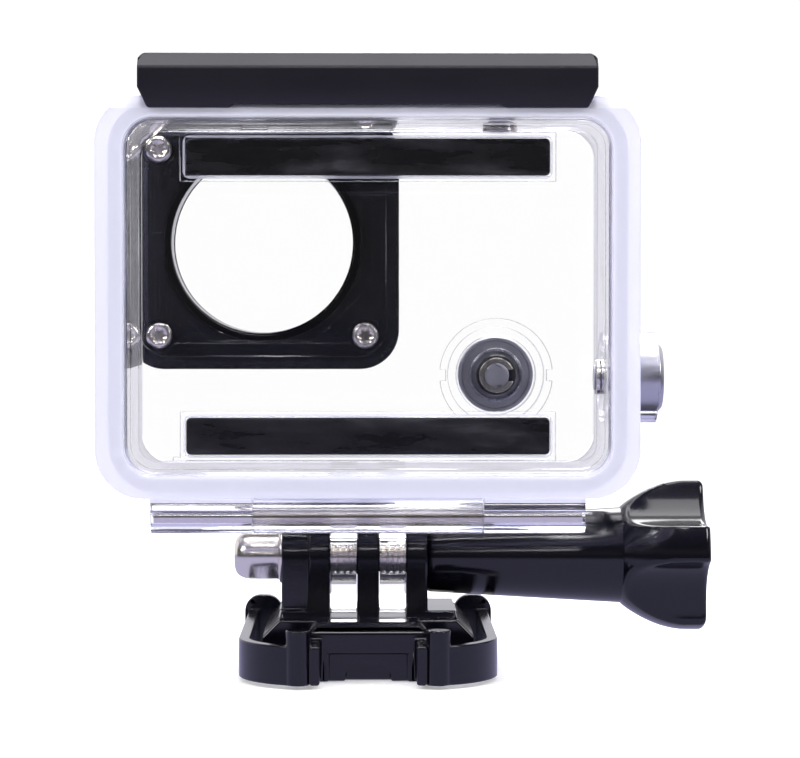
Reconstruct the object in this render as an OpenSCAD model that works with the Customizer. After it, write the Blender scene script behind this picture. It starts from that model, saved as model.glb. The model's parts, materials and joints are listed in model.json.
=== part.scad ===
// Clear waterproof camera housing on a quick-release buckle with a thumbscrew.
// X runs along the tilt axis, +Y points out of the lens, +Z is up.
// The origin is the centre of the buckle's foot, on the ground.

/* [Bay] */
// Width of the camera bay
bay_w = 59.5; // [56:0.5:72]
// Height of the camera bay
bay_h = 43.5; // [42:0.5:53]
// Depth of the camera bay, door to front wall
bay_d = 23; // [20:0.5:28]
// Corner radius of the bay
bay_r = 3.5; // [2:0.5:6]
// Wall thickness of the shell
wall = 2; // [1.6:0.1:2.8]

/* [Flange and door] */
// How far the flange stands out past the shell at each side
lip_x = 1.75; // [1:0.25:3]
// How far the flange stands out past the shell at top and bottom
lip_z = 1.05; // [0.8:0.05:2]
// Corner radius of the flange and the door
flange_r = 6; // [4:0.5:9]
// Thickness of the shell's flange
flange_t = 2.4; // [1.8:0.1:3.5]
// Thickness of the door
door_t = 3; // [2.4:0.1:4]
// Depth of the door's sunk outer panel
panel_sink = 0.6; // [0.3:0.1:1]
// Height of the rib that plugs the bay's mouth
plug_h = 1.1; // [0.6:0.1:2]
// Width of the gasket
gasket_w = 1.4; // [1:0.1:1.8]
// Depth of the gasket's groove
gasket_t = 0.9; // [0.5:0.1:1.4]

/* [Pads] */
// Length of a foam pad
pad_l = 45; // [36:1:50]
// Height of a foam pad
pad_h = 4.6; // [3:0.1:7]
// Thickness of a foam pad
pad_t = 1; // [0.6:0.1:2]
// Distance from a pad's middle to the bay's top or bottom wall
pad_inset = 4.5; // [4:0.1:9]

/* [Door hinge] */
// Radius of the hinge barrels
barrel_r = 2.1; // [1.8:0.1:2.6]
// Radius of the hinge pin
hinge_pin_r = 0.8; // [0.6:0.05:1.1]
// Length of the shell's middle knuckle
knuckle_l = 28.4; // [22:0.1:34]
// Length of each of the door's barrels
barrel_l = 12.5; // [8:0.1:15]

/* [Lens port] */
// Distance of the lens axis from the bay's side wall
lens_from_side = 15.75; // [15.5:0.25:20]
// Distance of the lens axis below the bay's top wall
lens_from_top = 14.55; // [14:0.05:18]
// Diameter of the lens opening
lens_d = 24; // [20:0.5:25]
// How far the clear tunnel stands out of the front wall
tunnel_h = 4.5; // [3:0.1:8]
// Thickness of the bezel's front plate
bezel_t = 3; // [2.4:0.1:5]
// Wall of the bezel round the tunnel
bezel_wall = 1.6; // [1.2:0.1:2.4]
// Thickness of the flat window
window_t = 1.5; // [1:0.1:2]
// Horizontal distance between the bezel screws
screw_dx = 27.3; // [26:0.1:30]
// Vertical distance between the bezel screws
screw_dz = 24.6; // [24:0.1:28]

/* [Buttons] */
// Distance of the front button's axis from the bay's side wall
front_from_side = 12.75; // [9:0.25:16]
// Height of the front button's axis above the bay's floor
front_from_floor = 11.4; // [9:0.1:14]
// Radius of the front button's cap
front_cap_r = 5; // [4:0.1:5.4]
// Distance of the shutter button's axis from the bay's side wall
shutter_from_side = 12.75; // [9:0.25:16]
// Distance of the shutter button's axis behind the front wall's inner face
shutter_from_front = 9; // [7:0.25:12]
// Radius of the shutter button's cap
shutter_cap_r = 4.3; // [3.5:0.1:5]
// Height of the side button's axis above the bay's floor
side_from_floor = 11.4; // [8:0.1:20]
// Distance of the side button's axis behind the front wall's inner face
side_from_front = 10; // [7:0.25:12]
// Radius of the side button's cap
side_cap_r = 4.4; // [3.5:0.1:5]
// Height of the side button's cap
side_cap_h = 3.8; // [1.5:0.1:4.5]
// Height of the collar round the side button
side_collar_h = 5.2; // [3:0.1:6]
// Radius of the button plungers
plunger_r = 1.6; // [1.2:0.05:1.8]
// Travel of a button
button_travel = 1.2; // [0.6:0.1:1.4]

/* [Latch] */
// Length of the latch bar
latch_l = 56.3; // [48:0.1:66]
// Height of the latch bar above the top of the door
latch_h = 5.1; // [4.4:0.1:6.5]
// How far the lip reaches below the top of the door
lip_drop = 1.7; // [1:0.1:1.9]
// Slope of the lip and of the door's bevel
lip_slope = 38; // [32:1:40]
// Width of the latch arm
arm_w = 16; // [12:0.5:20]
// Height of the latch hinge above the shell's top
latch_rise = 3.75; // [3.4:0.05:5]
// Travel of the lock slider
lock_travel = 2; // [1:0.1:2.2]

/* [Mount] */
// Height of the tilt axis above the ground
pivot_z = 14.75; // [14:0.05:20]
// Distance from the tilt axis to the shell's underside
finger_reach = 9.9; // [9.8:0.1:14]
// Radius of the fingers and prongs round the tilt axis
finger_r = 7.5; // [7:0.1:7.6]
// Thickness of a finger
finger_t = 3.3; // [2.8:0.1:3.6]
// Gap between the two fingers
finger_gap = 3; // [2.8:0.1:3.4]
// Play at each side of a finger
play = 0.1; // [0.05:0.05:0.2]
// Radius of the thumbscrew's bolt
bolt_r = 2.5; // [2:0.1:3]

/* [Buckle] */
// Half width of the squeeze arms
clip_x = 16.4; // [16:0.1:20]
// Half width of the foot
foot_x = 13.4; // [12:0.1:13.8]
// Height of the foot
foot_h = 7.4; // [6:0.1:7.6]
// Distance from the tilt axis to the far finger tabs
tab_y = 22; // [18:0.5:28]
// Height of the squeeze arms
clip_h = 4.9; // [4:0.1:6]
// Height of the finger tabs
tab_h = 7.3; // [6:0.1:8]
// Gap between the squeeze arms and the ground
clip_lift = 0.4; // [0.2:0.1:0.8]

/* [Thumbscrew] */
// Length of the thumbscrew's shank
shank_l = 25.1; // [14:0.1:34]
// Radius of the shank beside the prong
shank_r0 = 4.75; // [4:0.05:5.4]
// Radius of the shank beside the knob
shank_r1 = 6.2; // [5.6:0.05:6.6]
// Radius of the knob's lobes
knob_r = 9.7; // [8.6:0.1:9.8]
// Length of the knob
knob_l = 10.9; // [8:0.1:15]
// Angle above the horizontal of the lobe that points to the back
lobe_turn = 14; // [0:1:45]

/* [Hidden] */

$fn = 64;
e = 0.5;               // overrun of a cut past the face that it opens
run = 0.05;            // radial clearance of a running fit
seat = 0.1;            // clearance between faces that part or turn past each other

// Outline of the shell, seen along Y
body_w = bay_w + 2 * wall;
body_h = bay_h + 2 * wall;
body_r = bay_r + wall;
flange_w = body_w + 2 * lip_x;
flange_h = body_h + 2 * lip_z;
body_z0 = pivot_z + finger_reach;
mid_z = body_z0 + body_h / 2;
bay_z0 = body_z0 + wall;
bay_z1 = bay_z0 + bay_h;
body_z1 = body_z0 + body_h;
door_z0 = mid_z - flange_h / 2;
door_z1 = mid_z + flange_h / 2;

// Depth of the shell: the seam lies at the door's inner face
front_in = 6;
front_out = front_in + wall;
seam_y = front_in - bay_d;
door_y0 = seam_y - door_t;
flange_y0 = seam_y + seat;
flange_y1 = flange_y0 + flange_t;
front_round = 2;

// Door hinge
hinge_y = seam_y - 0.5;
hinge_z = door_z0 - barrel_r - 0.3;
knuckle_x = knuckle_l / 2;
barrel_x0 = knuckle_x + seat;
barrel_x1 = barrel_x0 + barrel_l;
plug_gap = 0.4;
plug_w = 1;
pad_frame = 0.7;
pad_frame_h = 0.8;
gasket_inset = 0.85;

// Lens port
lens_x = -bay_w / 2 + lens_from_side;
lens_z = bay_z1 - lens_from_top;
screw_r = 0.95;
head_r = 1.75;
head_h = 1.2;
head_seat_r = 2.25;
head_seat_d = 1.6;
tunnel_w = screw_dx + 2 * head_seat_r + 0.9;
tunnel_hz = screw_dz + 2 * head_seat_r + 0.9;
tunnel_r = 4;
tunnel_y = front_out + tunnel_h;
bezel_gap = 0.15;
bezel_w = tunnel_w + 2 * (bezel_gap + bezel_wall);
bezel_hz = tunnel_hz + 2 * (bezel_gap + bezel_wall);
bezel_y0 = front_out + 0.05;
bezel_y1 = tunnel_y + 0.3;
bezel_y2 = bezel_y1 + bezel_t;
window_r = lens_d / 2 + 1.5;
window_y0 = tunnel_y + 0.3;
gasket_ring = 0.8;
recess_w = screw_dx + 2;
recess_h = screw_dz + 2;
recess_d = 0.6;
pocket_cut = 6;
pocket_w = lens_d + 2;
pocket_d = 1.2;

// Buttons: each is drawn along +Z with the wall's inner face at zero
front_x = bay_w / 2 - front_from_side;
front_z = bay_z0 + front_from_floor;
shutter_x = bay_w / 2 - shutter_from_side;
shutter_y = front_in - shutter_from_front;
side_y = front_in - side_from_front;
side_z = bay_z0 + side_from_floor;
seal_r = 0.5;
seal_mid = plunger_r + run + seal_r;
seal_seat_r = seal_mid + seal_r + 0.05;
seal_seat_d = 2 * seal_r + 0.1;
spring_r = seal_seat_r + 0.9;
spring_wire = 0.6;
clip_t = 0.5;
clip_r = plunger_r + 0.7;
clip_in_r = plunger_r - 0.45;
plunger_end = clip_t + 0.25;
cap_gap = button_travel + spring_wire + 0.4;
cap_play = 0.3;
collar_t = 1.1;

// Latch
latch_y = front_in - 2.5;
latch_z = body_z1 + latch_rise;
bevel_y = lip_drop / tan(lip_slope);
lip_gap = 0.15;
bar_z0 = door_z1 + 0.3;
bar_z1 = door_z1 + latch_h;
bar_y0 = door_y0 - 1.6;
bar_y1 = door_y0 + 5.5;
arm_x = -5;
arm_z0 = latch_z - 1.6;
arm_z1 = latch_z + 1.6;
arm_knuckle_r = 2.2;
latch_pin_r = 0.9;
ear_w = 3.4;
lock_l = 5.8;
lock_w = 5.8;
lock_d = 1.8;
lock_y = (latch_y + bar_y1) / 2;
spring_l = lock_travel + 1;

// Mount and buckle
finger_x0 = finger_gap / 2;
finger_x1 = finger_x0 + finger_t;
prong_mid = finger_x0 - play;
prong_x0 = finger_x1 + play;
prong_t = 2.7;
prong_x1 = prong_x0 + prong_t;
boss_l = 3.5;
boss_x = prong_x1 + boss_l;
boss_wall = 1.9;        // boss material round the nut, across its flats
pivot_gap = 0.1;
slot_r = finger_r + 0.35;
pedestal_x = 11.2;
pedestal_y = finger_r + 0.4;
pedestal_z = foot_h + 0.9;
foot_y0 = -10;
foot_y1 = 12;
nose_x = 7.2;
nose_y = -13;
nut_af = 2 * bolt_r + 3;
boss_r = nut_af / 2 + boss_wall;
nut_hex_l = 3.1;
nut_dome_r = bolt_r + 0.6;
nut_end = 6.3;

// Squeeze arms
hinge_col_r = 1.5;
blade_t = 1.4;
blade_r = 10.5;
blade_c = [blade_r - clip_x, -9.6];
clip_pivot = [blade_c[0] - 2.8, blade_c[1] - 9];
tab_w = 5.2;
tab_t = 1.6;

// Thumbscrew
shank_x0 = prong_x1 + 0.1;
shank_x1 = shank_x0 + shank_l;
knob_x1 = shank_x1 + knob_l;
bolt_in_knob = 9;
flute_r = 7.6;
flare_l = knob_l - 2.3;
flute_floor = 6.4;

// A rectangle centred on the origin with true round corners
module rrect(w, h, r) {
    square([w - 2 * r, h], center = true);
    square([w, h - 2 * r], center = true);
    for (sx = [-1, 1], sz = [-1, 1])
        translate([sx * (w / 2 - r), sz * (h / 2 - r)]) circle(r);
}

// Extrudes an outline drawn in X and Z from y0 to y1
module along_y(y0, y1) {
    translate([0, y1, 0]) rotate([90, 0, 0]) linear_extrude(y1 - y0) children();
}

// Extrudes an outline drawn in Y and Z from x0 to x1
module along_x(x0, x1) {
    translate([x0, 0, 0]) rotate([90, 0, 90]) linear_extrude(x1 - x0) children();
}

module rod_x(x0, x1, r, y, z) {
    translate([x0, y, z]) rotate([0, 90, 0]) cylinder(h = x1 - x0, r = r);
}

module rod_y(y0, y1, r, x, z) {
    translate([x, y0, z]) rotate([-90, 0, 0]) cylinder(h = y1 - y0, r = r);
}

module box(lo, hi) {
    translate(lo) cube(hi - lo);
}

module ring(r_out, r_in, z0, z1) {
    difference() {
        translate([0, 0, z0]) cylinder(h = z1 - z0, r = r_out);
        translate([0, 0, z0 - e]) cylinder(h = z1 - z0 + 2 * e, r = r_in);
    }
}

// The four places of the bezel screws, and one of them
screw_at = [for (sx = [-1, 1], sz = [-1, 1]) [lens_x + sx * screw_dx / 2, lens_z + sz * screw_dz / 2]];

// The buttons' own frames
module at_front() {
    translate([front_x, front_in, front_z]) rotate([-90, 0, 0]) children();
}

module at_shutter() {
    translate([shutter_x, shutter_y, bay_z1]) children();
}

module at_side() {
    translate([bay_w / 2, side_y, side_z]) rotate([0, 90, 0]) children();
}

// Collar that guards a button, standing on the wall
module collar(cap_r, h, foot_r) {
    z1 = wall + h;
    r1 = cap_r + cap_play + collar_t;
    difference() {
        union() {
            translate([0, 0, wall - 0.2]) cylinder(h = h + 0.2, r = r1);
            difference() {
                translate([0, 0, wall - 0.2]) cylinder(h = 1, r = foot_r);
                for (s = [-1, 1])
                    translate([s * (r1 + 1.1), 0, wall + 0.4 + e]) cube([1.6, 1.6, 2 * e + 0.8], center = true);
            }
        }
        translate([0, 0, wall]) cylinder(h = h + e, r = cap_r + cap_play);
    }
}

// Bore and O-ring seat of a button, cut through the wall
module button_bore() {
    translate([0, 0, -e]) cylinder(h = wall + 2 * e, r = plunger_r + run);
    translate([0, 0, wall - seal_seat_d]) cylinder(h = seal_seat_d + e, r = seal_seat_r);
}

// Cap with plunger, rim and clip groove
module button(cap_r, cap_h) {
    z0 = wall + cap_gap;
    difference() {
        union() {
            translate([0, 0, -plunger_end]) cylinder(h = z0 + plunger_end + e, r = plunger_r);
            translate([0, 0, z0]) cylinder(h = cap_h - 0.5, r = cap_r);
            translate([0, 0, z0 + cap_h - 0.5]) cylinder(h = 0.5, r1 = cap_r, r2 = cap_r - 0.5);
            ring(cap_r, cap_r - 0.5, z0 - 0.6, z0 + 0.2);
        }
        ring(plunger_r + e, clip_in_r, -clip_t - 0.1, 0);
    }
}

// Return spring as its plain outer tube
module button_spring() {
    ring(spring_r, spring_r - spring_wire, wall, wall + cap_gap);
}

module button_seal() {
    translate([0, 0, wall - seal_r - 0.05]) rotate_extrude() translate([seal_mid, 0]) circle(seal_r);
}

// E-clip in the plunger's groove, open to one side
module e_clip() {
    difference() {
        ring(clip_r, clip_in_r + 0.02, -clip_t - 0.05, -0.05);
        translate([0, -0.8, -clip_t - e]) cube([clip_r + 1, 1.6, clip_t + 2 * e]);
    }
}

// Outline of one mount finger or prong, from its round end up or down to z1
module tongue(z1) {
    translate([0, pivot_z]) circle(finger_r);
    translate([-finger_r, min(pivot_z, z1)]) square([2 * finger_r, abs(z1 - pivot_z)]);
}

module shell_outer() {
    along_y(flange_y0, flange_y1) translate([0, mid_z]) rrect(flange_w, flange_h, flange_r);
    intersection() {
        along_y(flange_y0 + e, front_out) translate([0, mid_z]) rrect(body_w, body_h, body_r);
        linear_extrude(body_z1 + e) front_outline(body_w);
        along_x(-body_w, body_w) translate([0, mid_z]) mirror([1, -1]) front_outline(body_h);
    }
    along_y(front_out - 0.2, tunnel_y)
        translate([lens_x, lens_z]) rrect(tunnel_w, tunnel_hz, tunnel_r);
    at_front() collar(front_cap_r, 3.2, 7.5);
    at_shutter() collar(shutter_cap_r, 3, 6.4);
    at_side() collar(side_cap_r, side_collar_h, 5.8);
    for (s = [-1, 1])
        translate([arm_x + s * (arm_w / 2 + 0.15 + ear_w / 2), 0, 0]) latch_ear();
    rod_x(-knuckle_x, knuckle_x, barrel_r, hinge_y, hinge_z);
    box([-knuckle_x, flange_y0, hinge_z], [knuckle_x, flange_y1, door_z0 + e]);
    for (s = [-1, 1])
        along_x(s > 0 ? finger_x0 : -finger_x1, s > 0 ? finger_x1 : -finger_x0) tongue(bay_z0 - 0.4);
}

// Outline of the shell's depth across a width w, with rounded front corners
module front_outline(w) {
    d = front_out - seam_y;
    translate([-w / 2, seam_y - e]) square([w, d + e - front_round]);
    translate([-w / 2 + front_round, front_out - front_round - e]) square([w - 2 * front_round, front_round + e]);
    for (s = [-1, 1]) translate([s * (w / 2 - front_round), front_out - front_round]) circle(front_round);
}

module latch_ear() {
    r = arm_knuckle_r + 0.1;
    along_x(-ear_w / 2, ear_w / 2) {
        translate([latch_y, latch_z]) circle(r);
        translate([latch_y - r, body_z1 - 0.4]) square([2 * r, latch_z - body_z1 + 0.4]);
    }
}

module front_shell() {
    color([0.87, 0.88, 0.97, 0.35]) difference() {
        shell_outer();
        along_y(seam_y - e, front_in) translate([0, mid_z]) rrect(bay_w, bay_h, bay_r);
        rod_y(front_in - e, tunnel_y + e, lens_d / 2, lens_x, lens_z);
        along_y(front_in - e, front_in + recess_d) port_recess();
        along_y(front_in - e, front_in + pocket_d) port_pocket();
        rod_y(tunnel_y - 0.5, tunnel_y + e, window_r - 0.3, lens_x, lens_z);
        for (p = screw_at) {
            rod_y(front_in - e, tunnel_y + e, screw_r + run, p[0], p[1]);
            rod_y(front_in - e, front_in + head_seat_d, head_seat_r, p[0], p[1]);
        }
        at_front() button_bore();
        at_shutter() button_bore();
        at_side() button_bore();
        rod_x(-knuckle_x - e, knuckle_x + e, hinge_pin_r, hinge_y, hinge_z);
        rod_x(-finger_x1 - e, finger_x1 + e, bolt_r + pivot_gap, 0, pivot_z);
        rod_x(arm_x - arm_w, arm_x + arm_w, latch_pin_r, latch_y, latch_z);
    }
}

// Shallow square recess inside the port, with its key notch
module port_recess() {
    difference() {
        translate([lens_x, lens_z]) square([recess_w, recess_h], center = true);
        translate([lens_x - recess_w / 2 + 0.8, lens_z]) square([1.6, 2.6], center = true);
    }
}

// Eight-sided pocket round the lens opening
module port_pocket() {
    a = pocket_w / 2;
    b = a - pocket_cut;
    translate([lens_x, lens_z])
        polygon([[a, b], [b, a], [-b, a], [-a, b], [-a, -b], [-b, -a], [b, -a], [a, -b]]);
}

module back_door() {
    color([0.87, 0.88, 0.97, 0.35]) difference() {
        union() {
            along_y(door_y0, seam_y) translate([0, mid_z]) rrect(flange_w, flange_h, flange_r);
            along_y(seam_y - e, seam_y + plug_h) plug_outline();
            for (s = [-1, 1]) {
                along_y(seam_y - e, seam_y + pad_frame_h) translate([0, pad_z(s)]) pad_frame_outline();
                x0 = s > 0 ? barrel_x0 : -barrel_x1;
                rod_x(x0, x0 + barrel_l, barrel_r, hinge_y, hinge_z);
                box([x0, door_y0 + 0.4, hinge_z], [x0 + barrel_l, seam_y - 0.6, door_z0 + e]);
            }
            box([-pad_l / 2 - 1.6, seam_y - e, bay_z0 + 0.9], [-pad_l / 2, seam_y + pad_frame_h, bay_z0 + 1.9]);
        }
        along_y(door_y0 - e, door_y0 + panel_sink) translate([0, mid_z]) rrect(bay_w, bay_h, bay_r);
        along_y(seam_y - gasket_t, seam_y + e) gasket_outline();
        along_x(-flange_w, flange_w) door_bevel();
        rod_x(-barrel_x1 - e, barrel_x1 + e, hinge_pin_r + run, hinge_y, hinge_z);
    }
}

// Middle height of the upper or the lower pad
function pad_z(s) = s > 0 ? bay_z1 - pad_inset : bay_z0 + pad_inset;

// Thin rib ring that enters the bay's mouth
module plug_outline() {
    translate([0, mid_z]) difference() {
        rrect(bay_w - 2 * plug_gap, bay_h - 2 * plug_gap, bay_r - plug_gap);
        rrect(bay_w - 2 * (plug_gap + plug_w), bay_h - 2 * (plug_gap + plug_w), bay_r - plug_gap - plug_w);
    }
}

module gasket_outline() {
    a = gasket_inset;
    b = gasket_inset + gasket_w;
    translate([0, mid_z]) difference() {
        rrect(bay_w + 2 * b, bay_h + 2 * b, bay_r + b);
        rrect(bay_w + 2 * a, bay_h + 2 * a, bay_r + a);
    }
}

module pad_frame_outline() {
    difference() {
        square([pad_l + 2 * pad_frame, pad_h + 2 * pad_frame], center = true);
        square([pad_l + 0.2, pad_h + 0.2], center = true);
    }
}

// Wedge off the door's top outer edge, under the latch lip
module door_bevel() {
    polygon([[door_y0 - e, door_z1 - lip_drop - e * tan(lip_slope)], [door_y0 + bevel_y, door_z1],
             [door_y0 + bevel_y, door_z1 + e], [door_y0 - e, door_z1 + e]]);
}

module door_gasket() {
    color([0.93, 0.93, 0.96]) along_y(seam_y - gasket_t, seam_y + seat - 0.02) gasket_outline();
}

module door_hinge_pin() {
    color("silver") rod_x(-barrel_x1 + 0.3, barrel_x1 - 0.3, hinge_pin_r, hinge_y, hinge_z);
}

module pad(s) {
    color([0.05, 0.05, 0.06]) along_y(seam_y, seam_y + pad_t)
        translate([0, pad_z(s)]) rrect(pad_l, pad_h, 0.6);
}

module upper_pad() {
    pad(1);
}

module lower_pad() {
    pad(-1);
}

module lens_bezel() {
    color([0.06, 0.06, 0.08]) difference() {
        along_y(bezel_y0, bezel_y2) translate([lens_x, lens_z]) rrect(bezel_w, bezel_hz, tunnel_r + 1.2);
        along_y(bezel_y0 - e, bezel_y1)
            translate([lens_x, lens_z]) rrect(tunnel_w + 2 * bezel_gap, tunnel_hz + 2 * bezel_gap, tunnel_r);
        rod_y(bezel_y1 - e, bezel_y1 + window_t, window_r + 0.1, lens_x, lens_z);
        rod_y(bezel_y1, bezel_y2 + e, lens_d / 2, lens_x, lens_z);
        translate([lens_x, bezel_y2 - 1, lens_z]) rotate([-90, 0, 0])
            cylinder(h = 1.2, r1 = lens_d / 2, r2 = lens_d / 2 + 1.2);
        for (p = screw_at) rod_y(bezel_y1 - e, bezel_y2 - 0.8, screw_r + run, p[0], p[1]);
    }
}

module lens_window() {
    color([0.9, 0.93, 1, 0.3]) rod_y(window_y0, window_y0 + window_t, window_r, lens_x, lens_z);
}

module lens_gasket() {
    color([0.1, 0.1, 0.1]) translate([lens_x, 0, lens_z]) rotate([-90, 0, 0])
        ring(window_r - 0.35, window_r - 0.35 - gasket_ring, tunnel_y - 0.5, window_y0);
}

// Pan-head screw driven towards the front, with a six-lobed drive
module bezel_screw(n) {
    p = screw_at[n - 1];
    y0 = front_in + head_seat_d - head_h;
    color("silver") translate([p[0], y0, p[1]]) rotate([-90, 0, 0]) difference() {
        union() {
            cylinder(h = head_h - 0.4, r1 = head_r - 0.5, r2 = head_r);
            translate([0, 0, head_h - 0.4]) cylinder(h = 0.4, r = head_r);
            translate([0, 0, head_h - 0.1]) cylinder(h = bezel_y2 - 1.2 - y0 - head_h, r = screw_r);
        }
        translate([0, 0, -e]) cylinder(h = e + 0.7, r = 0.6);
        for (a = [0 : 60 : 300]) rotate(a) translate([0.6, 0, -e]) cylinder(h = e + 0.7, r = 0.24);
    }
}

module latch_arm() {
    x0 = arm_x - arm_w / 2;
    x1 = arm_x + arm_w / 2;
    color([0.1, 0.1, 0.12]) difference() {
        union() {
            rod_x(x0, x1, arm_knuckle_r, latch_y, latch_z);
            box([x0, bar_y1, arm_z0], [x1, latch_y, arm_z1]);
        }
        rod_x(x0 - e, x1 + e, latch_pin_r + run, latch_y, latch_z);
        along_x(lock_x0() - 0.1, lock_x0() + lock_l + spring_l) lock_section(0.05);
    }
}

function lock_x0() = arm_x - (lock_l + spring_l) / 2;

// Dovetail section of the lock slider and of its slot
module lock_section(gap) {
    a = lock_w / 2 + gap;
    z0 = arm_z1 - lock_d;
    translate([lock_y, 0])
        polygon([[-a, z0 - gap], [a, z0 - gap], [a - 0.4, arm_z1 + (gap > 0 ? e : 0)],
                 [-a + 0.4, arm_z1 + (gap > 0 ? e : 0)]]);
}

module lock_slider() {
    x0 = lock_x0();
    color([0.2, 0.2, 0.22]) {
        along_x(x0, x0 + lock_l) lock_section(0);
        for (i = [0 : 3])
            box([x0 + 0.7 + 1.3 * i, lock_y - 2, arm_z1 - e], [x0 + 1.3 + 1.3 * i, lock_y + 2, arm_z1 + 0.5]);
    }
}

module lock_spring() {
    x0 = lock_x0() + lock_l;
    color("silver") difference() {
        rod_x(x0 + 0.05, x0 + spring_l - 0.05, 0.7, lock_y, arm_z1 - lock_d / 2);
        rod_x(x0 - e, x0 + spring_l + e, 0.4, lock_y, arm_z1 - lock_d / 2);
    }
}

module latch_bar() {
    color([0.12, 0.11, 0.15]) intersection() {
        along_x(-latch_l / 2, latch_l / 2) bar_section();
        along_y(bar_y0 - e, bar_y1 + e) bar_face();
    }
}

// Section of the latch bar: top, two bevels on the back, lip, and the slope above the door
module bar_section() {
    n = [-sin(lip_slope) * lip_gap, cos(lip_slope) * lip_gap];
    p = [door_y0 + n[0], door_z1 - lip_drop + n[1]];
    tip_z = door_z1 - lip_drop;
    tip_y = p[0] - (p[1] - tip_z) / tan(lip_slope);
    polygon([[bar_y1, bar_z1], [door_y0 + 0.2, bar_z1], [bar_y0, bar_z1 - 1.9], [bar_y0, bar_z1 - 4.3],
             [tip_y - 0.6, tip_z], [tip_y, tip_z],
             [p[0] + (bar_z0 - p[1]) / tan(lip_slope), bar_z0], [bar_y1, bar_z0]]);
}

// Face of the latch bar: cut corners, slanted lower ends and a raised middle
module bar_face() {
    a = latch_l / 2;
    z0 = door_z1 - lip_drop - 0.1;
    z1 = bar_z1 + 0.1;
    c = 0.8;
    m = a * 0.58;
    polygon([[a, bar_z0 + 0.5], [a, z1 - c - 0.1], [a - 0.3, z1 - 0.4], [a - c, z1], [-a + c, z1],
             [-a + 0.3, z1 - 0.4], [-a, z1 - c - 0.1], [-a, bar_z0 + 0.5], [-a + 1.2, z0],
             [-m - 0.6, z0], [-m, z0 + 0.5], [m, z0 + 0.5], [m + 0.6, z0], [a - 1.2, z0]]);
}

module latch_pin() {
    x = arm_w / 2 + 0.15 + ear_w;
    color("silver") rod_x(arm_x - x, arm_x + x, latch_pin_r, latch_y, latch_z);
}

module front_button() {
    color([0.35, 0.35, 0.37]) at_front() button(front_cap_r, 2.2);
}

module front_spring() {
    color("silver") at_front() button_spring();
}

module front_seal() {
    color([0.08, 0.08, 0.08]) at_front() button_seal();
}

module front_clip() {
    color("silver") at_front() e_clip();
}

module shutter_button() {
    color([0.35, 0.35, 0.37]) at_shutter() button(shutter_cap_r, 2);
}

module shutter_spring() {
    color("silver") at_shutter() button_spring();
}

module shutter_seal() {
    color([0.08, 0.08, 0.08]) at_shutter() button_seal();
}

module shutter_clip() {
    color("silver") at_shutter() e_clip();
}

module side_button() {
    color([0.35, 0.35, 0.37]) at_side() button(side_cap_r, side_cap_h);
}

module side_spring() {
    color("silver") at_side() button_spring();
}

module side_seal() {
    color([0.08, 0.08, 0.08]) at_side() button_seal();
}

module side_clip() {
    color("silver") at_side() e_clip();
}

// Foot seen along Y: flat sole, side grooves for a mounting rail, cut top corners
module foot_outline() {
    a = foot_x;
    g = 1.6;
    polygon([[-a, 0], [a, 0], [a, 1.5], [a - g, 1.9], [a - g, 3.1], [a, 3.5], [a, foot_h - 2], [a - 2, foot_h],
             [-a + 2, foot_h], [-a, foot_h - 2], [-a, 3.5], [-a + g, 3.1], [-a + g, 1.9], [-a, 1.5]]);
}

module nose_outline() {
    a = nose_x;
    polygon([[-a + 1, 0], [a - 1, 0], [a, 1.4], [a, foot_h - 1.2], [a - 1, foot_h], [-a + 1, foot_h],
             [-a, foot_h - 1.2], [-a, 1.4]]);
}

// Seat of one squeeze arm's hinge, reaching back from the nose
module clip_seat() {
    x1 = clip_pivot[0] + hinge_col_r + seat;
    difference() {
        box([x1 - 0.9, clip_pivot[1] - 0.9, clip_lift], [max(x1 + 1.1, 1.2 - nose_x), nose_y + e, clip_lift + clip_h]);
        translate([clip_pivot[0], clip_pivot[1], -e]) cylinder(h = foot_h + 2 * e, r = hinge_col_r + seat);
    }
}

module buckle_base() {
    color([0.05, 0.05, 0.07]) difference() {
        union() {
            along_y(foot_y0, foot_y1) foot_outline();
            intersection() {
                along_y(nose_y, foot_y0 + e) nose_outline();
                along_x(-nose_x, nose_x)
                    polygon([[nose_y, 0], [foot_y0 + e, 0], [foot_y0 + e, foot_h], [nose_y + 1.2, foot_h],
                             [nose_y, foot_h - 1.3]]);
            }
            along_x(-pedestal_x, pedestal_x)
                polygon([[-pedestal_y, foot_h - e], [pedestal_y, foot_h - e], [pedestal_y - 0.5, pedestal_z],
                         [-pedestal_y + 0.5, pedestal_z]]);
            for (x = [[-prong_x1, -prong_x0], [-prong_mid, prong_mid], [prong_x0, prong_x1]])
                along_x(x[0], x[1]) tongue(foot_h - e);
            rod_x(-boss_x, -prong_x0, boss_r, 0, pivot_z);
            box([-boss_x, -boss_r, foot_h - e], [-prong_x0, boss_r, pivot_z]);
            clip_seat();
            mirror([1, 0, 0]) clip_seat();
        }
        for (s = [-1, 1]) {
            x0 = s > 0 ? prong_mid : -prong_x0;
            x1 = s > 0 ? prong_x0 : -prong_mid;
            rod_x(x0, x1, slot_r, 0, pivot_z);
            box([x0, -pedestal_y - e, pivot_z - slot_r], [x1, pedestal_y + e, pivot_z]);
        }
        rod_x(-boss_x - e, prong_x1 + e, bolt_r + pivot_gap, 0, pivot_z);
        translate([-boss_x - e, 0, pivot_z]) rotate([0, 90, 0])
            cylinder(h = nut_hex_l + 0.1 + e, r = (nut_af / 2 + 0.05) / cos(30), $fn = 6);
        along_y(nose_y - e, nose_y + 0.5) square([9.8, 2 * (foot_h - 3.9)], center = true);
        along_y(nose_y - e, nose_y + 1.6)
            polygon([[-2.8, -e], [2.8, -e], [2.8, 1.1], [2, 2.1], [-2, 2.1], [-2.8, 1.1]]);
    }
}

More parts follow.
